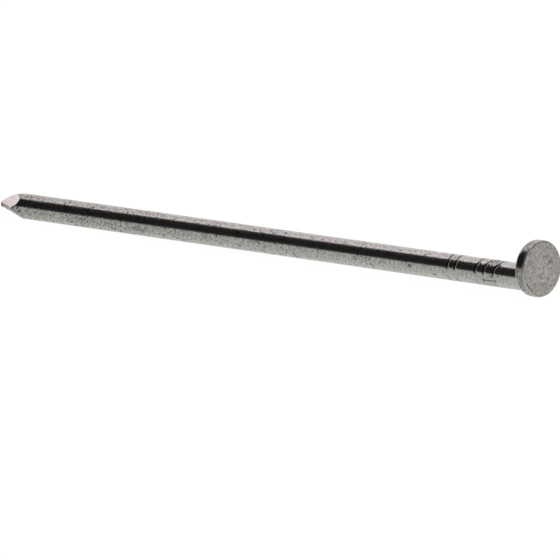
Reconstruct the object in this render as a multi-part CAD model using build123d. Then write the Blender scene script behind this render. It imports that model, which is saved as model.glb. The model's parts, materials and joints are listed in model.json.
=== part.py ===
from build123d import *
import os
from math import cos, radians, sin, tan

# Round wire nail, 5.5 x 160. The wire's axis is X, the head is at +X and the point at -X.
# The origin is on the wire's axis, in the plane of the head's bearing face.

WIRE_DIAMETER = 5.5
OVERALL_LENGTH = 160.0

HEAD_DIAMETER = 11.7
HEAD_THICKNESS = 2.7
HEAD_OFFSET = 2.25  # how far the upset head stands off the wire's axis, along +Z
FACE_EDGE_RADIUS = 0.4
UNDERSIDE_EDGE_RADIUS = 0.5
NECK_HEIGHT = 0.3  # length of the small cone where the wire swells into the head

POINT_HALF_ANGLE = 17.0  # between each pinched face and the wire's axis
POINT_BLUNTNESS = 0.6  # width across the flat left at the very tip
POINT_TURN = 34.0  # direction of the first pinched face, up from -Y towards +Z

GRIP_MARK_DISTANCES = (8.4, 9.4, 10.2, 11.2, 13.5, 19.2, 21.4)  # from the bearing face
GRIP_MARK_DEPTHS = (0.14, 0.07, 0.07, 0.14, 0.14, 0.13, 0.13)
GRIP_TOOTH_RADIUS = 0.28
GRIP_DIE_TURN = 95.0  # middle of one gripping die, measured the same way as POINT_TURN

WIRE_RADIUS = WIRE_DIAMETER / 2
HEAD_RADIUS = HEAD_DIAMETER / 2
TIP_X = HEAD_THICKNESS - OVERALL_LENGTH


def outward(turn):
    """Unit vector square to the wire, turned up from -Y towards +Z by `turn` degrees."""
    return Vector(0, -cos(radians(turn)), sin(radians(turn)))


def wire():
    """The drawn wire, from the plane of the tip to just inside the head."""
    length = HEAD_THICKNESS / 2 - TIP_X
    start = Plane(origin=(TIP_X, 0, 0), z_dir=(1, 0, 0))
    return start * Cylinder(WIRE_RADIUS, length, align=(Align.CENTER, Align.CENTER, Align.MIN))


def head():
    """The upset disc, softly rounded under its rim and edged at its striking face."""
    seat = Plane(origin=(0, 0, HEAD_OFFSET), z_dir=(1, 0, 0))
    disc = seat * Cylinder(HEAD_RADIUS, HEAD_THICKNESS, align=(Align.CENTER, Align.CENTER, Align.MIN))
    rims = disc.edges().filter_by(GeomType.CIRCLE).sort_by(Axis.X)
    disc = fillet(rims[0], UNDERSIDE_EDGE_RADIUS)
    rims = disc.edges().filter_by(GeomType.CIRCLE).sort_by(Axis.X)
    return fillet(rims[-1], FACE_EDGE_RADIUS)


def neck():
    """The short cone that thickens the wire where it meets the head."""
    start = Plane(origin=(-NECK_HEIGHT, 0, 0), z_dir=(1, 0, 0))
    mouth_radius = WIRE_RADIUS + NECK_HEIGHT
    aligned = (Align.CENTER, Align.CENTER, Align.MIN)
    return start * Cone(WIRE_RADIUS, mouth_radius, NECK_HEIGHT, align=aligned)


def pinch_point(blank):
    """Cuts the four flat faces that the pinching tools leave, a quarter turn apart."""
    half_angle = radians(POINT_HALF_ANGLE)
    apex_x = TIP_X - POINT_BLUNTNESS / 2 / tan(half_angle)
    for quarter in range(4):
        side = outward(POINT_TURN + 90 * quarter)
        normal = side * cos(half_angle) - Vector(1, 0, 0) * sin(half_angle)
        face = Plane(origin=(apex_x, 0, 0), z_dir=normal)
        blank = split(blank, bisect_by=face, keep=Keep.BOTTOM)
    return blank


def grip_mark(distance, depth, turn):
    """One tooth of a gripping die: a ring set off the axis, so its bite fades out sideways."""
    clearance = 0.12 * depth
    ring_radius = WIRE_RADIUS + clearance + GRIP_TOOTH_RADIUS
    centre = outward(turn) * -(depth + clearance)
    ring_plane = Plane(origin=(-distance, centre.Y, centre.Z), z_dir=(1, 0, 0))
    return ring_plane * Torus(ring_radius, GRIP_TOOTH_RADIUS)


def nail():
    """The whole nail, headed, pointed and gripped from one length of wire."""
    body = wire() + neck() + head()
    body = pinch_point(body)
    for distance, depth in zip(GRIP_MARK_DISTANCES, GRIP_MARK_DEPTHS):
        for turn in (GRIP_DIE_TURN, GRIP_DIE_TURN + 180):
            body = body - grip_mark(distance, depth, turn)
    return body


os.makedirs("parts", exist_ok=True)
export_step(nail(), "parts/nail.step")
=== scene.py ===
import bmesh
import bpy
import json
from math import acos, atan2, cos, exp, hypot, pi, radians, sin, sqrt, tan
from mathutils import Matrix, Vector, noise


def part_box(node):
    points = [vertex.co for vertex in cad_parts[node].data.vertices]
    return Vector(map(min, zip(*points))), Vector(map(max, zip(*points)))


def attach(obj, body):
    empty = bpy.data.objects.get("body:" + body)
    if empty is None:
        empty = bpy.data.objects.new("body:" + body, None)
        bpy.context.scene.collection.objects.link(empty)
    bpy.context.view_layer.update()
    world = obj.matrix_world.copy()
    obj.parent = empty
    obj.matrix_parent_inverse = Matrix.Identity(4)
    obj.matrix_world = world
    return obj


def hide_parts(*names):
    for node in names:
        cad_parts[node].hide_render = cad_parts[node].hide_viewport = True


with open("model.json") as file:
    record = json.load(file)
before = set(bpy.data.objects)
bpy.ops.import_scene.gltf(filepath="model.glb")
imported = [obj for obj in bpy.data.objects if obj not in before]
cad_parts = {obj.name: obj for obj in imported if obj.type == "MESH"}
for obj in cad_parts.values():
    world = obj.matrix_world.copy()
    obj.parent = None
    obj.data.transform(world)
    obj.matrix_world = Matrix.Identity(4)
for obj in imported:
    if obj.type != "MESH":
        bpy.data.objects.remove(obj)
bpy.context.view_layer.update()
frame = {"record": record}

# ---------------------------------------------------------------------------------------------
# Blank. A length of drawn round steel wire with its end upset into a flat head in one blow.
# The blow has pushed the head off the wire's axis, so that its rim overhangs the shank far
# more on one side, the upper one as the nail lies, than on the other.

MM = 0.001
TOUCH = 0.01 * MM  # places closer than this count as the same
low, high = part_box("nail")
TIP_X = low.x
FACE_X = high.x
HEAD_RADIUS = (high.y - low.y) / 2
HEAD_LIFT = (high.z + low.z) / 2
WIRE_RADIUS = frame["record"]["mounts"][0]["dims"]["r_mm"] * MM
NECK = 0.3 * MM
UNDERSIDE_ROUND = 1.0 * MM
FACE_ROUND = 0.4 * MM
SIDES = 128  # a multiple of 8, so that the point's edges and the middles of its faces fall on one

POINT_HALF_ANGLE = radians(17.0)
POINT_BLUNTNESS = 0.6 * MM
POINT_TURN = radians(34.0)
POINT_STRETCH = 9.0 * MM  # from the tip to where the wire is whole again

GRIPPED_FROM = -36 * MM  # this stretch, up to the head, carries the gripping marks and knocks
SCUFFED_FROM = -77 * MM  # a second stretch that carries a nick and scuffs
SCUFFED_TO = -64 * MM


def outward(turn):
    """Unit direction square to the wire, turned up from -Y towards +Z."""
    return Vector((0, -cos(turn), sin(turn)))


def straight(start, end, spacing):
    """Evenly spaced (x, radius) stations from start up to, but not with, end."""
    steps = max(1, round((end - start).length / spacing))
    return [start.lerp(end, i / steps) for i in range(steps)]


def rounded(centre, radius, first, last, steps):
    """Stations round a corner; first and last are angles up from +X."""
    angles = [first + (last - first) * i / steps for i in range(steps)]
    return [centre + radius * Vector((cos(a), sin(a))) for a in angles]


def nail_profile():
    """Half outline of the nail, from the middle of its tip to the middle of its face; the
    stations stand closest where the surface carries marks."""
    corner = POINT_BLUNTNESS / 2 * sqrt(2)
    shoulder_x = TIP_X + (WIRE_RADIUS - corner) / tan(POINT_HALF_ANGLE) / sqrt(2)
    wire_start = Vector((TIP_X + POINT_STRETCH, WIRE_RADIUS))
    scuff_start = Vector((SCUFFED_FROM, WIRE_RADIUS))
    scuff_end = Vector((SCUFFED_TO, WIRE_RADIUS))
    gripped_start = Vector((GRIPPED_FROM, WIRE_RADIUS))
    wire_end = Vector((-NECK, WIRE_RADIUS))
    neck_end = Vector((0, WIRE_RADIUS + NECK))
    underside_end = Vector((0, HEAD_RADIUS - UNDERSIDE_ROUND))
    rim_start = Vector((UNDERSIDE_ROUND, HEAD_RADIUS))
    rim_end = Vector((FACE_X - FACE_ROUND, HEAD_RADIUS))
    under_centre = Vector((UNDERSIDE_ROUND, HEAD_RADIUS - UNDERSIDE_ROUND))
    face_centre = Vector((FACE_X - FACE_ROUND, HEAD_RADIUS - FACE_ROUND))
    face_edge = Vector((FACE_X, HEAD_RADIUS - FACE_ROUND))
    return [
        *straight(Vector((TIP_X, 0)), Vector((TIP_X, corner)), 0.15 * MM),
        *straight(Vector((TIP_X, corner)), Vector((shoulder_x, WIRE_RADIUS)), 0.14 * MM),
        *straight(Vector((shoulder_x, WIRE_RADIUS)), wire_start, 0.14 * MM),
        *straight(wire_start, scuff_start, 0.7 * MM),
        *straight(scuff_start, scuff_end, 0.25 * MM),
        *straight(scuff_end, gripped_start, 0.7 * MM),
        *straight(gripped_start, wire_end, 0.13 * MM),
        *straight(wire_end, neck_end, 0.1 * MM),
        *straight(neck_end, underside_end, 0.3 * MM),
        *rounded(under_centre, UNDERSIDE_ROUND, radians(180), radians(90), 8),
        *straight(rim_start, rim_end, 0.2 * MM),
        *rounded(face_centre, FACE_ROUND, radians(90), radians(0), 10),
        *straight(face_edge, Vector((FACE_X, 0)), 0.16 * MM),
        Vector((FACE_X, 0)),
    ]


nail_mesh = bmesh.new()
first_side = outward(POINT_TURN + radians(45))
verts = [nail_mesh.verts.new(Vector((p.x, 0, 0)) + first_side * p.y) for p in nail_profile()]
edges = [nail_mesh.edges.new(pair) for pair in zip(verts, verts[1:])]
bmesh.ops.spin(
    nail_mesh, geom=verts + edges, cent=(0, 0, 0), axis=(1, 0, 0),
    angle=radians(360), steps=SIDES, use_merge=True,
)
bmesh.ops.remove_doubles(nail_mesh, verts=nail_mesh.verts, dist=0.001 * MM)
bmesh.ops.recalc_face_normals(nail_mesh, faces=nail_mesh.faces)


def underside_x(distance):
    """How far the head's underside has curled away at this distance from the head's middle."""
    past = max(0.0, distance - (HEAD_RADIUS - UNDERSIDE_ROUND))
    return UNDERSIDE_ROUND - sqrt(max(0.0, UNDERSIDE_ROUND**2 - past**2))


def upset_head(vert):
    """Slides the head off the wire's axis; the underside spreads between the two circles."""
    if vert.co.x < -TOUCH:
        return
    lift = Vector((0, 0, HEAD_LIFT))
    radius = hypot(vert.co.y, vert.co.z)
    under = vert.co.x < UNDERSIDE_ROUND - TOUCH and radius >= WIRE_RADIUS
    if not under:
        vert.co += lift
        return
    neck_radius = WIRE_RADIUS + NECK
    vert.co += lift * ((radius - neck_radius) / (HEAD_RADIUS - neck_radius))
    vert.co.x = underside_x(hypot(vert.co.y, vert.co.z - HEAD_LIFT))


# ---------------------------------------------------------------------------------------------
# Point. Two V-edged tools pinch the wire from either side and shear it off, which leaves
# four flat faces with slightly rolled borders. Where the tools meet a ragged flash is left at
# the very tip, standing on one side and broken off on the other.

EDGE_ROLL = 0.10 * MM
FACE_RIPPLE = 0.02 * MM
FACE_RIPPLE_LENGTH = 1.1 * MM
FACE_REACH = radians(60)  # a face is not looked for further round the wire than this
BEYOND_REACH = 1.0  # metres, far outside the wire: nothing cuts it here
SEAMS = (  # turn where the tools meet, how far flash stands out (or is broken off), its length
    (POINT_TURN - radians(135), 0.38 * MM, 4.6 * MM),
    (POINT_TURN + radians(45), -0.24 * MM, 1.8 * MM),
)
FLASH_WIDTH = radians(42)
SHADED_FACE_TURN = POINT_TURN - radians(90)  # the lower face, kept from the cut tint and darkened with painted shade
SHADED_FACE_SPREAD = radians(44.5)  # to either side of its middle
SHADE_FADE_LENGTH = 14 * MM
TORN_EDGE_TURN = POINT_TURN - radians(56)  # a strip of the edge above the lower face tore away
TORN_EDGE_LENGTH = 5.2 * MM
TORN_EDGE_DEPTH = 0.38 * MM
WORN_AT = 5.2 * MM  # from the tip, where the upper seam is rubbed round
WORN_LENGTH = 1.6 * MM
WORN_SPREAD = radians(20)
WORN_DEPTH = 0.20 * MM
CUT_BORDER = 0.30 * MM  # depth of cut at which the steel shows fully sheared


def smooth_least(a, b, blend):
    """The lesser of two radii, with the corner between them rolled over."""
    share = max(blend - abs(a - b), 0.0) / blend
    return min(a, b) - share * share * blend / 4


def turn_between(a, b):
    """Size of the angle between two turns about the wire."""
    return acos(max(-1.0, min(1.0, cos(a - b))))


def pressed_radius(along, turn):
    """Distance of the nearest pinched face from the wire's axis, in the direction of turn."""
    face_distance = POINT_BLUNTNESS / 2 + along * tan(POINT_HALF_ANGLE)
    reach = BEYOND_REACH
    for quarter in range(4):
        lean = turn_between(turn, POINT_TURN + quarter * pi / 2)
        if lean < FACE_REACH:
            ripple = noise.noise(Vector((along / FACE_RIPPLE_LENGTH, quarter * 7.3, lean * 2)))
            pressed = face_distance + ripple * FACE_RIPPLE * min(1.0, along / (1 * MM))
            reach = min(reach, pressed / cos(lean))
    return reach


def torn_radius(along, turn):
    """Distance of the strip that tore away along one edge of the tip."""
    lean = turn_between(turn, TORN_EDGE_TURN)
    if along > TORN_EDGE_LENGTH or lean > FACE_REACH:
        return BEYOND_REACH
    edge_radius = (POINT_BLUNTNESS / 2 + along * tan(POINT_HALF_ANGLE)) * sqrt(2)
    ragged = 1 + 0.25 * noise.noise(Vector((along / (0.4 * MM), 0.7, 0)))
    depth = TORN_EDGE_DEPTH * ragged * min(1.0, (TORN_EDGE_LENGTH - along) / (0.5 * MM))
    return (edge_radius * cos(TORN_EDGE_TURN - POINT_TURN + radians(45)) - depth) / cos(lean)


def pinch(vert):
    """Presses a vertex near the tip in to the four faces, pulls out the flash, and paints shade
    on the lower face.
    """
    along = vert.co.x - TIP_X
    if along > POINT_STRETCH:
        return
    turn = atan2(vert.co.z, -vert.co.y)
    pressed = pressed_radius(along, turn)
    torn = torn_radius(along, turn)
    reach = smooth_least(min(pressed, torn), WIRE_RADIUS, EDGE_ROLL)
    vert[cut_and_highlight] = max(0.0, min(1.0, (WIRE_RADIUS - reach) / CUT_BORDER))
    for seam, height, length in SEAMS:
        lean = turn_between(turn, seam) / FLASH_WIDTH
        if lean < 1 and along < length:
            ragged = 0.75 + 0.5 * noise.noise(Vector((along / (0.5 * MM), seam, 3.1)))
            reach += height * ragged * (1 - lean * lean) * (1 - along / length)
    worn_along = (along - WORN_AT) / WORN_LENGTH
    worn_across = turn_between(turn, SEAMS[1][0]) / WORN_SPREAD
    reach -= WORN_DEPTH * exp(-worn_along * worn_along - worn_across * worn_across)
    # Painted shade: the lower face, the torn strip and the wire on that side near the tip are
    # darkened with blotchy stain and kept from the pale cut tint.
    if torn < pressed or turn_between(turn, SHADED_FACE_TURN) < SHADED_FACE_SPREAD:
        blotch = 0.5 + 0.5 * noise.noise(vert.co / (0.35 * MM))
        vert[stain_and_shade] = blotch * max(0.0, 1 - along / SHADE_FADE_LENGTH)
        vert[cut_and_highlight] = 0.0
    if along < TOUCH:  # the blunt end keeps its rings in proportion
        reach *= hypot(vert.co.y, vert.co.z) / (POINT_BLUNTNESS / 2 * sqrt(2))
    vert.co = Vector((vert.co.x, 0, 0)) + outward(turn) * reach


# ---------------------------------------------------------------------------------------------
# Gripping marks. Two toothed dies hold the wire while the head is struck. Each tooth bites a
# part-ring across the shank and throws up a burr beside it; the bite is deepest in the middle
# of the die and fades out where the two dies meet.

GRIP_MARKS = (  # distance below the head, depth, how far the tooth leans towards the head
    (8.4 * MM, 0.15 * MM, 1.3 * MM),
    (9.4 * MM, 0.07 * MM, 1.3 * MM),
    (10.2 * MM, 0.07 * MM, 1.0 * MM),
    (11.2 * MM, 0.15 * MM, 0.8 * MM),
    (13.5 * MM, 0.15 * MM, 0.4 * MM),
    (19.2 * MM, 0.13 * MM, -0.3 * MM),
    (21.4 * MM, 0.13 * MM, -0.5 * MM),
)
GRIP_DIES = (  # middle of each die's bite, its strength, cosine at which it starts to hold
    (radians(95), 1.0, -0.12),
    (radians(275), 0.5, 0.45),
)
LEAN_FROM = radians(32)
TOOTH_WIDTH = 0.24 * MM
TOOTH_SWAY = 0.15 * MM
BURR_PLACE = 1.7  # tooth widths from the bite towards the head
BURR_HEIGHT = 0.5  # share of the bite's depth
LIGHT_BITE = 0.1 * MM  # shallower teeth than this only touch the middle of the die's grip
LIGHT_BITE_START = 0.60


def grip(vert):
    """Sinks a vertex where a tooth has bitten and lifts it where the burr stands; paints shade as
    a dark line along the groove's side towards the point.
    """
    if vert.co.x < GRIPPED_FROM:
        return
    turn = atan2(vert.co.z, -vert.co.y)
    shift = 0.0
    for die, (middle, bite, fade_start) in enumerate(GRIP_DIES):
        hold = cos(turn_between(turn, middle))
        for number, (distance, depth, lean) in enumerate(GRIP_MARKS):
            first_hold = fade_start if depth > LIGHT_BITE else LIGHT_BITE_START
            held = bite * max(0.0, min(1.0, (hold - first_hold) / 0.25))
            sway = TOOTH_SWAY * noise.noise(Vector((turn * 1.7, number * 3.1, die * 5.7)))
            leaning = lean * max(0.0, sin(turn - LEAN_FROM))
            away = (vert.co.x + distance + sway - leaning) / TOOTH_WIDTH
            if abs(away) > 4 or held == 0.0:
                continue
            groove = exp(-away * away)
            burr = exp(-((away - BURR_PLACE) ** 2))
            shift += held * depth * (BURR_HEIGHT * burr - groove)
            # Painted shade: a dark line along the groove's side towards the point.
            vert[stain_and_shade] = max(vert[stain_and_shade], held * 0.9 * exp(-((away + 0.5) ** 2)))
    vert.co += outward(turn) * shift


# ---------------------------------------------------------------------------------------------
# Knocks. Loose nails rattle together in their box, so the shank carries a few shallow dents
# and the struck face is not quite flat: its edge stands up in a thin lip on one side, with a
# shallow step just inside, and it carries a faint ring from the punch and a few small pits.

KNOCKS = (  # distance below the head, turn, half length along the shank, half width, depth, dirt
    (8.1 * MM, radians(-25), 0.30 * MM, 0.25 * MM, 0.05 * MM, 1.0),
    (8.9 * MM, radians(-4), 0.35 * MM, 0.30 * MM, 0.04 * MM, 1.0),
    (9.6 * MM, radians(-26), 1.70 * MM, 0.14 * MM, 0.04 * MM, 1.0),
    (11.3 * MM, radians(-28), 0.45 * MM, 0.35 * MM, 0.06 * MM, 1.0),
    (25.4 * MM, radians(-35), 0.40 * MM, 0.25 * MM, 0.04 * MM, 1.0),
    (32.1 * MM, radians(-8), 0.50 * MM, 0.35 * MM, 0.05 * MM, 1.0),
    (65.4 * MM, radians(-56), 0.30 * MM, 0.50 * MM, 0.06 * MM, 1.0),
    (65.9 * MM, radians(-36), 0.30 * MM, 0.50 * MM, 0.05 * MM, 0.9),
    (68.8 * MM, radians(84), 0.35 * MM, 0.25 * MM, 0.03 * MM, 1.0),
    (69.2 * MM, radians(60), 0.35 * MM, 0.25 * MM, 0.03 * MM, 1.0),
    (70.5 * MM, radians(-48), 3.00 * MM, 0.40 * MM, 0.05 * MM, 0.0),
    (75.4 * MM, radians(-40), 0.90 * MM, 0.20 * MM, 0.05 * MM, 0.6),
    (112.2 * MM, radians(-21), 2.60 * MM, 0.50 * MM, 0.01 * MM, 0.5),
    (-TIP_X - 6.4 * MM, radians(-4), 0.50 * MM, 0.22 * MM, 0.02 * MM, 1.0),
    (-TIP_X - 5.5 * MM, radians(-12), 0.30 * MM, 0.22 * MM, 0.03 * MM, 1.0),
)
FACE_PITS = (  # across and up from the middle of the face, radius, depth
    (2.30 * MM, 1.30 * MM, 0.24 * MM, 0.07 * MM),
    (2.85 * MM, 1.55 * MM, 0.15 * MM, 0.05 * MM),
    (1.80 * MM, 0.95 * MM, 0.15 * MM, 0.05 * MM),
    (2.45 * MM, 1.85 * MM, 0.14 * MM, 0.04 * MM),
    (-0.90 * MM, 0.10 * MM, 0.14 * MM, 0.04 * MM),
    (0.45 * MM, 0.15 * MM, 0.14 * MM, 0.04 * MM),
    (1.90 * MM, -2.30 * MM, 0.16 * MM, 0.05 * MM),
    (-3.50 * MM, -1.50 * MM, 0.16 * MM, 0.05 * MM),
    (2.60 * MM, -3.70 * MM, 0.15 * MM, 0.04 * MM),
    (4.40 * MM, -1.40 * MM, 0.15 * MM, 0.04 * MM),
)
FACE_WAVE = 0.014 * MM
FACE_WAVE_LENGTH = 1.6 * MM
PUNCH_RING = 3.05 * MM  # radius of the faint ring that the heading punch left on the face
PUNCH_RING_WIDTH = 0.13 * MM
PUNCH_RING_DEPTH = 0.03 * MM
PUNCH_RING_TURN = radians(-100)
PUNCH_RING_SPREAD = radians(28)
RUBBED_RADIUS = 2.2 * MM  # the middle of the face is rubbed a little cleaner than the rest
RUBBED_DIRT = 0.10
RIM_MARKS = (  # turn of each place where the face's border is pushed up, spread, strength
    (radians(-38), radians(40), 1.0),
    (radians(44), radians(10), 0.8),
)
LIP_HEIGHT = 0.06 * MM
LIP_OUTSIDE = 0.17 * MM  # from the flat of the face out to the lip's crest
LIP_WIDTH = 0.09 * MM
STEP_DEPTH = 0.12 * MM
STEP_INSIDE = 0.20 * MM
STEP_WIDTH = 0.18 * MM


def dent(vert):
    """Sinks a shank vertex under each knock and dirties the hollow."""
    turn = atan2(vert.co.z, -vert.co.y)
    for distance, middle, half_length, half_width, depth, darkening in KNOCKS:
        along = (vert.co.x + distance) / half_length
        across = turn_between(turn, middle) * WIRE_RADIUS / half_width
        if along * along + across * across > 6:
            continue
        hollow = exp(-(along * along + across * across))
        vert.co -= outward(turn) * depth * hollow
        vert[stain_and_shade] = max(vert[stain_and_shade], darkening * hollow)


def strike(vert):
    """Shapes a vertex of the struck face: lip and step, slight waviness, ring and pits.
    Paints a highlight on the lip's crest and shade in the step inside it.
    """
    across, up = vert.co.y, vert.co.z - HEAD_LIFT
    distance = hypot(across, up)
    inside = HEAD_RADIUS - FACE_ROUND - distance
    turn = atan2(up, -across)
    ragged = 0.7 + 0.6 * noise.noise(Vector((turn * 3, 1.7, 0)))
    step = exp(-(((inside - STEP_INSIDE) / STEP_WIDTH) ** 2))
    step *= 0.75 + noise.noise(Vector((turn * 9, 4.4, distance / (0.4 * MM))))
    crest = exp(-(((inside + LIP_OUTSIDE) / LIP_WIDTH) ** 2))
    for middle, spread, strength in RIM_MARKS:
        lip = strength * ragged * exp(-((turn_between(turn, middle) / spread) ** 2))
        vert.co.x += lip * (LIP_HEIGHT * crest - STEP_DEPTH * step)
        # Painted highlight and shade: the lip's crest is cleared of stain and given the pale cut
        # tint, and the step inside it is stained dark.
        vert[stain_and_shade] = max(vert[stain_and_shade] * (1 - min(1.0, lip * crest)), 0.95 * lip * step)
        vert[cut_and_highlight] = max(vert[cut_and_highlight], 0.55 * min(1.0, 1.4 * lip) * crest)
    if inside < 0:
        return
    vert.co.x += FACE_WAVE * noise.noise(Vector((across, up, 0)) / FACE_WAVE_LENGTH)
    rubbed = exp(-((distance / RUBBED_RADIUS) ** 2))
    vert[stain_and_shade] = max(vert[stain_and_shade], RUBBED_DIRT * (1 - rubbed))
    ring = exp(-(((distance - PUNCH_RING) / PUNCH_RING_WIDTH) ** 2))
    ring *= exp(-((turn_between(turn, PUNCH_RING_TURN) / PUNCH_RING_SPREAD) ** 2))
    vert.co.x -= PUNCH_RING_DEPTH * ring
    vert[stain_and_shade] = max(vert[stain_and_shade], 0.5 * ring)
    for pit_across, pit_up, radius, depth in FACE_PITS:
        near = hypot(across - pit_across, up - pit_up) / radius
        if near < 2.5:
            vert.co.x -= depth * exp(-near * near)
            vert[stain_and_shade] = max(vert[stain_and_shade], exp(-near * near))


# ---------------------------------------------------------------------------------------------
# Forming and finish. The blank goes through the steps above and comes out as one piece of
# bright steel. Three values on each vertex tell the finish how clean, dirty or beaten it is; the
# clean value also paints a highlight on the face's lip, and the dirty value paints shade in the
# grip grooves, the step inside that lip and the point's lower face.

RIM_FROM = 0.5 * MM  # height above the bearing face from which the rim carries its dirt

cut_and_highlight = nail_mesh.verts.layers.float.new("cut_and_highlight")
stain_and_shade = nail_mesh.verts.layers.float.new("stain_and_shade")
struck = nail_mesh.verts.layers.float.new("struck")
for vert in nail_mesh.verts:
    on_wire = vert.co.x < -TOUCH
    on_face = vert.co.x > FACE_X - 0.9 * FACE_ROUND
    on_rim = RIM_FROM < vert.co.x and not on_face
    upset_head(vert)
    if on_wire:
        pinch(vert)
        grip(vert)
        dent(vert)
    if on_rim:
        vert[stain_and_shade] = 0.42 + 0.5 * noise.noise(vert.co / (0.5 * MM))
    if on_face:
        vert[struck] = 1.0
        if hypot(vert.co.y, vert.co.z - HEAD_LIFT) > HEAD_RADIUS - FACE_ROUND:
            vert[stain_and_shade] = 0.25 + 0.4 * noise.noise(vert.co / (0.5 * MM))
        strike(vert)

nail_data = bpy.data.meshes.new("nail_visual")
nail_mesh.to_mesh(nail_data)
nail_mesh.free()
nail_data.shade_smooth()
nail = bpy.data.objects.new("nail_visual", nail_data)
bpy.context.scene.collection.objects.link(nail)


def linear(hex_colour):
    """An sRGB hex colour as the linear RGBA that shaders take."""
    channels = [int(hex_colour[i:i + 2], 16) / 255 for i in (1, 3, 5)]
    light = [c / 12.92 if c <= 0.04045 else ((c + 0.055) / 1.055) ** 2.4 for c in channels]
    return (*light, 1.0)


def add_node(tree, kind, settings=None, links=None):
    """Adds a node, sets its properties or unlinked sockets, and links its inputs."""
    node = tree.nodes.new(kind)
    for name, value in (settings or {}).items():
        if isinstance(name, str) and hasattr(node, name):
            setattr(node, name, value)
        else:
            node.inputs[name].default_value = value
    for name, source in (links or {}).items():
        tree.links.new(source, node.inputs[name])
    return node


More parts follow.
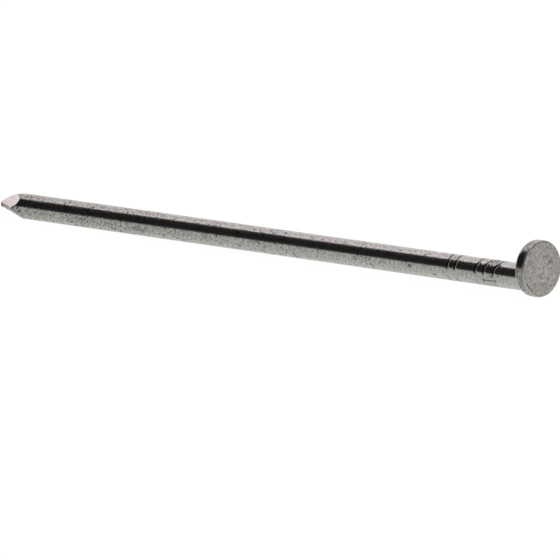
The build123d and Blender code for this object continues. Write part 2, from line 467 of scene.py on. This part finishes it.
def bright_drawn_steel():
    """Bright drawn low-carbon steel wire, uncoated. The die leaves it satin and finely mottled,
    with specks of oxide and drawing soap pressed in, thickest towards the point and on top. The
    sheared faces of the point are cleaner and paler, and the struck face of the head is duller.
    The same pale tint paints a highlight on the crest of the face's lip, and the dark stain
    colour paints shade in the grip grooves, the step inside that lip and the point's lower face,
    besides real dirt in the knocks, pits and rim. Grain and specks are drawn a few tenths of a
    millimetre across, coarser than real, to show."""
    material = bpy.data.materials.new("bright_drawn_steel")
    material.use_nodes = True
    tree = material.node_tree
    tree.nodes.clear()
    place = add_node(tree, "ShaderNodeTexCoord").outputs["Object"]
    cut_and_highlight_fac = add_node(tree, "ShaderNodeAttribute", {"attribute_name": "cut_and_highlight"}).outputs["Fac"]
    stain_and_shade_fac = add_node(tree, "ShaderNodeAttribute", {"attribute_name": "stain_and_shade"}).outputs["Fac"]
    hammered = add_node(tree, "ShaderNodeAttribute", {"attribute_name": "struck"}).outputs["Fac"]
    position = add_node(tree, "ShaderNodeSeparateXYZ", {}, {"Vector": place})

    grain = add_node(
        tree, "ShaderNodeTexNoise", {"Scale": 1 / (0.42 * MM), "Detail": 3.0, "Roughness": 0.75},
        {"Vector": place},
    )
    grain_contrast = add_node(
        tree, "ShaderNodeMapRange", {"From Min": 0.38, "From Max": 0.60},
        {"Value": grain.outputs["Fac"]},
    )
    from_head = add_node(
        tree, "ShaderNodeMapRange", {"From Min": 0.0, "From Max": -150 * MM},
        {"Value": position.outputs["X"]},
    )
    grain_strength = add_node(
        tree, "ShaderNodeMapRange", {"To Min": 0.55, "To Max": 1.1},
        {"Value": from_head.outputs["Result"]},
    )
    grain_fading = add_node(
        tree, "ShaderNodeMix", {"data_type": "FLOAT", 2: 0.55},
        {0: grain_strength.outputs["Result"], 3: grain_contrast.outputs["Result"]},
    )
    drawn_steel = add_node(
        tree, "ShaderNodeMix",
        {"data_type": "RGBA", 6: linear("#9B9995"), 7: linear("#D8D6D2")},
        {0: grain_fading.outputs[0]},
    )
    aged_steel = add_node(
        tree, "ShaderNodeMix",
        {"data_type": "RGBA", "blend_type": "MULTIPLY", 7: linear("#E7E7E5")},
        {0: from_head.outputs["Result"], 6: drawn_steel.outputs[2]},
    )
    beaten = add_node(
        tree, "ShaderNodeTexNoise", {"Scale": 1 / (0.5 * MM), "Detail": 4.0, "Roughness": 0.75},
        {"Vector": place},
    )
    beaten_contrast = add_node(
        tree, "ShaderNodeMapRange", {"From Min": 0.36, "From Max": 0.64},
        {"Value": beaten.outputs["Fac"]},
    )
    beaten_steel = add_node(
        tree, "ShaderNodeMix",
        {"data_type": "RGBA", 6: linear("#A09A95"), 7: linear("#E3DDD8")},
        {0: beaten_contrast.outputs["Result"]},
    )
    steel = add_node(
        tree, "ShaderNodeMix", {"data_type": "RGBA"},
        {0: hammered, 6: aged_steel.outputs[2], 7: beaten_steel.outputs[2]},
    )
    # Pale tint of fresh-cut steel for the point's sheared faces; its palest stop, on the crest of
    # the face's lip, is a painted highlight.
    cut_and_highlight_tint = add_node(tree, "ShaderNodeValToRGB", {}, {"Fac": cut_and_highlight_fac})
    cut_and_highlight_tint.color_ramp.elements[0].color = linear("#C9C7C3")
    cut_and_highlight_tint.color_ramp.elements[1].color = linear("#D8D1CE")
    cut_and_highlight_tint.color_ramp.elements.new(0.5).color = linear("#F2EADA")
    cut_and_highlight_share = add_node(tree, "ShaderNodeMapRange", {"From Max": 0.25}, {"Value": cut_and_highlight_fac})
    cut_and_highlit_steel = add_node(
        tree, "ShaderNodeMix", {"data_type": "RGBA"},
        {0: cut_and_highlight_share.outputs["Result"], 6: steel.outputs[2], 7: cut_and_highlight_tint.outputs["Color"]},
    )

    cloud = add_node(
        tree, "ShaderNodeTexNoise", {"Scale": 1 / (4 * MM), "Detail": 2.0, "Roughness": 0.5},
        {"Vector": place},
    )
    cloudy = add_node(
        tree, "ShaderNodeMapRange",
        {"From Min": 0.3, "From Max": 0.7, "To Min": -0.03, "To Max": 0.05},
        {"Value": cloud.outputs["Fac"]},
    )
    towards_point = add_node(
        tree, "ShaderNodeMapRange",
        {"From Min": -40 * MM, "From Max": -150 * MM, "To Min": 0.0, "To Max": 0.04},
        {"Value": position.outputs["X"]},
    )
    settled = add_node(
        tree, "ShaderNodeMapRange",
        {"From Min": 0.5 * MM, "From Max": 2.0 * MM, "To Min": 0.0, "To Max": 0.03},
        {"Value": position.outputs["Z"]},
    )
    speck = add_node(
        tree, "ShaderNodeTexNoise", {"Scale": 1 / (0.50 * MM), "Detail": 3.0, "Roughness": 0.6},
        {"Vector": place},
    )
    crowding = add_node(
        tree, "ShaderNodeMath", {"operation": "ADD"},
        {0: cloudy.outputs["Result"], 1: towards_point.outputs["Result"]},
    )
    more_on_top = add_node(
        tree, "ShaderNodeMath", {"operation": "ADD"},
        {0: crowding.outputs[0], 1: settled.outputs["Result"]},
    )
    crowded = add_node(
        tree, "ShaderNodeMath", {"operation": "ADD"},
        {0: speck.outputs["Fac"], 1: more_on_top.outputs[0]},
    )
    fewer_on_face = add_node(
        tree, "ShaderNodeMath", {"operation": "MULTIPLY_ADD", 1: -0.08},
        {0: hammered, 2: crowded.outputs[0]},
    )
    thinned = add_node(
        tree, "ShaderNodeMath", {"operation": "MULTIPLY_ADD", 1: -0.25},
        {0: cut_and_highlight_fac, 2: fewer_on_face.outputs[0]},
    )
    specks = add_node(
        tree, "ShaderNodeMapRange",
        {"interpolation_type": "SMOOTHSTEP", "From Min": 0.62, "From Max": 0.68, "To Max": 0.95},
        {"Value": thinned.outputs[0]},
    )
    # Specks and the stain value darken the steel towards one dark colour; the stain holds real
    # dirt and also painted shade in the grip grooves, the face's step and the point's lower face.
    darkening = add_node(
        tree, "ShaderNodeMath", {"operation": "MAXIMUM"}, {0: specks.outputs["Result"], 1: stain_and_shade_fac},
    )
    colour = add_node(
        tree, "ShaderNodeMix", {"data_type": "RGBA", 7: linear("#3F3C38")},
        {0: darkening.outputs[0], 6: cut_and_highlit_steel.outputs[2]},
    )

    sheen = add_node(
        tree, "ShaderNodeMapRange", {"To Min": 0.21, "To Max": 0.42}, {"Value": hammered},
    )
    dull = add_node(
        tree, "ShaderNodeMath", {"operation": "MULTIPLY_ADD", 1: 0.06},
        {0: darkening.outputs[0], 2: sheen.outputs["Result"]},
    )
    bump = add_node(
        tree, "ShaderNodeBump", {"Strength": 0.05, "Distance": 0.02 * MM, "invert": True},
        {"Height": darkening.outputs[0]},
    )
    shader = add_node(
        tree, "ShaderNodeBsdfPrincipled", {"Metallic": 1.0},
        {"Base Color": colour.outputs[2], "Roughness": dull.outputs[0],
         "Normal": bump.outputs["Normal"]},
    )
    add_node(tree, "ShaderNodeOutputMaterial", {}, {"Surface": shader.outputs["BSDF"]})
    return material


nail_data.materials.append(bright_drawn_steel())
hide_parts("nail")
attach(nail, "root")

# ---------------------------------------------------------------------------------------------
# Studio. A white table under an open tent: three softboxes for its roof, white walls behind
# and beyond the point, and nothing in front, where the dark room draws the nail's black band.

SHANK_REST = Vector((TIP_X + 6.5 * MM, 0, -WIRE_RADIUS))
HEAD_REST = Vector((FACE_X / 2, 0, low.z))
LAY = (SHANK_REST.z - HEAD_REST.z) / (HEAD_REST.x - SHANK_REST.x)  # slope of the nail as it lies
TABLE_HALF = 5.0
TENT_HEIGHT = 0.9
TENT_FRONT = -0.213 * TENT_HEIGHT
TENT_KEY_BACK = 0.25
TENT_MIDDLE_BACK = 0.6
TENT_BACK = 2.4
TENT_LEFT = -3.4
TENT_RIGHT = 1.2
WALL_FOOT = -0.1
SURROUND_RADIUS = 6.0  # a plain backdrop all round
SURROUND_FOOT = -0.4
SURROUND_HEIGHT = 6.4


def plain_white(name, glow, albedo):
    """Matt white card, lit from within so that it stays even and nearly shadowless."""
    material = bpy.data.materials.new(name)
    material.use_nodes = True
    shader = material.node_tree.nodes["Principled BSDF"]
    shader.inputs["Base Color"].default_value = (albedo, albedo, albedo, 1)
    shader.inputs["Roughness"].default_value = 0.9
    shader.inputs["Specular IOR Level"].default_value = 0.0
    shader.inputs["Emission Color"].default_value = (1, 1, 1, 1)
    shader.inputs["Emission Strength"].default_value = glow
    return material


def card(name, line, sweep, material):
    """A card swept from a line of corners."""
    mesh = bmesh.new()
    corners = [mesh.verts.new(corner) for corner in line]
    edges = [mesh.edges.new(pair) for pair in zip(corners, corners[1:])]
    swept = bmesh.ops.extrude_edge_only(mesh, edges=edges)["geom"]
    swept_corners = [part for part in swept if isinstance(part, bmesh.types.BMVert)]
    bmesh.ops.translate(mesh, verts=swept_corners, vec=sweep)
    data = bpy.data.meshes.new(name)
    mesh.to_mesh(data)
    mesh.free()
    data.materials.append(material)
    piece = bpy.data.objects.new(name, data)
    bpy.context.scene.collection.objects.link(piece)
    return piece


def table_z(x):
    """Height of the table under the nail: it touches the head's rim and the shank's end."""
    return HEAD_REST.z + LAY * (HEAD_REST.x - x)


table_edge = [(x, -TABLE_HALF, table_z(x)) for x in (-TABLE_HALF, TABLE_HALF)]
white_table = plain_white("white_table", 0.98, 0.06)
table = card("table", table_edge, (0, 2 * TABLE_HALF, 0), white_table)
table.visible_glossy = False  # the nail mirrors the room's paler and darker floor instead

wall_corners = ((TENT_LEFT, -0.9), (TENT_LEFT, TENT_BACK), (TENT_RIGHT, TENT_BACK))
wall_foot = [(x, y, WALL_FOOT) for x, y in wall_corners]
white_cloth = plain_white("white_cloth", 0.94, 0.0)
walls = card("tent_walls", wall_foot, (0, 0, TENT_HEIGHT - WALL_FOOT), white_cloth)
walls.visible_camera = False
walls.visible_diffuse = False

surround_foot = [
    (SURROUND_RADIUS * cos(radians(turn)), SURROUND_RADIUS * sin(radians(turn)), SURROUND_FOOT)
    for turn in range(0, 361, 15)
]
white_surround = plain_white("white_surround", 1.0, 0.0)
surround = card("surround", surround_foot, (0, 0, SURROUND_HEIGHT), white_surround)
surround.visible_diffuse = False
surround.visible_glossy = False
surround.visible_shadow = False


def softbox(name, front, back, brightness, colour):
    """One softbox of the tent's roof, from front to back."""
    length = TENT_RIGHT - TENT_LEFT
    light = bpy.data.lights.new(name, "AREA")
    light.shape = "RECTANGLE"
    light.size = length
    light.size_y = back - front
    light.energy = brightness * pi * length * (back - front)
    light.color = colour
    lamp = bpy.data.objects.new(name, light)
    lamp.location = ((TENT_RIGHT + TENT_LEFT) / 2, (front + back) / 2, TENT_HEIGHT)
    lamp.visible_camera = False
    bpy.context.scene.collection.objects.link(lamp)


softbox("key_softbox", TENT_FRONT, TENT_KEY_BACK, 1.14, (1.0, 0.95, 0.975))
softbox("middle_softbox", TENT_KEY_BACK, TENT_MIDDLE_BACK, 0.86, (1.0, 0.96, 0.975))
softbox("back_softbox", TENT_MIDDLE_BACK, TENT_BACK, 0.96, (1.0, 0.965, 0.975))

world = bpy.data.worlds.new("dark_room_pale_floor")
world.use_nodes = True
room = world.node_tree
gaze = add_node(room, "ShaderNodeTexCoord").outputs["Generated"]
gaze_parts = add_node(room, "ShaderNodeSeparateXYZ", {}, {"Vector": gaze})
nearness = add_node(
    room, "ShaderNodeMapRange", {"From Min": -0.78, "From Max": -0.05},
    {"Value": gaze_parts.outputs["Y"]},
)
floor_glow = add_node(
    room, "ShaderNodeMix",
    {"data_type": "RGBA", 6: (0.628, 0.64, 0.628, 1), 7: (0.83, 0.845, 0.832, 1)},
    {0: nearness.outputs["Result"]},
)
below = add_node(
    room, "ShaderNodeMapRange", {"From Min": 0.0, "From Max": -0.03},
    {"Value": gaze_parts.outputs["Z"]},
)
shade = add_node(
    room, "ShaderNodeMix", {"data_type": "RGBA", 6: (0.0215, 0.0205, 0.0225, 1)},
    {0: below.outputs["Result"], 7: floor_glow.outputs[2]},
)
room.links.new(shade.outputs[2], room.nodes["Background"].inputs["Color"])
bpy.context.scene.world = world
bpy.context.scene.view_settings.view_transform = "Standard"

# ---------------------------------------------------------------------------------------------
# Camera. A long lens from a little above the table and from the head's end, so that the point
# is further away. It aims a little below the nail, which puts the nail above the middle.

AZIMUTH = radians(44.52)
ELEVATION = radians(8.61)
DISTANCE = 1.717
SENSOR = 36  # millimetres, as the lens is
LENS = 523.5
AIM = Vector(((TIP_X + FACE_X) / 2 - 2.3 * MM, 0, 0))
AIM_RIGHT = 5.23 * MM
AIM_UP = -8.66 * MM

back = Vector((sin(AZIMUTH) * cos(ELEVATION), -cos(AZIMUTH) * cos(ELEVATION), sin(ELEVATION)))
right = Vector((cos(AZIMUTH), sin(AZIMUTH), 0))
up = back.cross(right)
camera_data = bpy.data.cameras.new("camera")
camera_data.sensor_width = SENSOR
camera_data.lens = LENS
camera_data.clip_end = 20
camera = bpy.data.objects.new("camera", camera_data)
camera.location = AIM + back * DISTANCE + right * AIM_RIGHT + up * AIM_UP
camera.rotation_euler = back.to_track_quat("Z", "Y").to_euler()
bpy.context.scene.collection.objects.link(camera)
bpy.context.scene.camera = camera
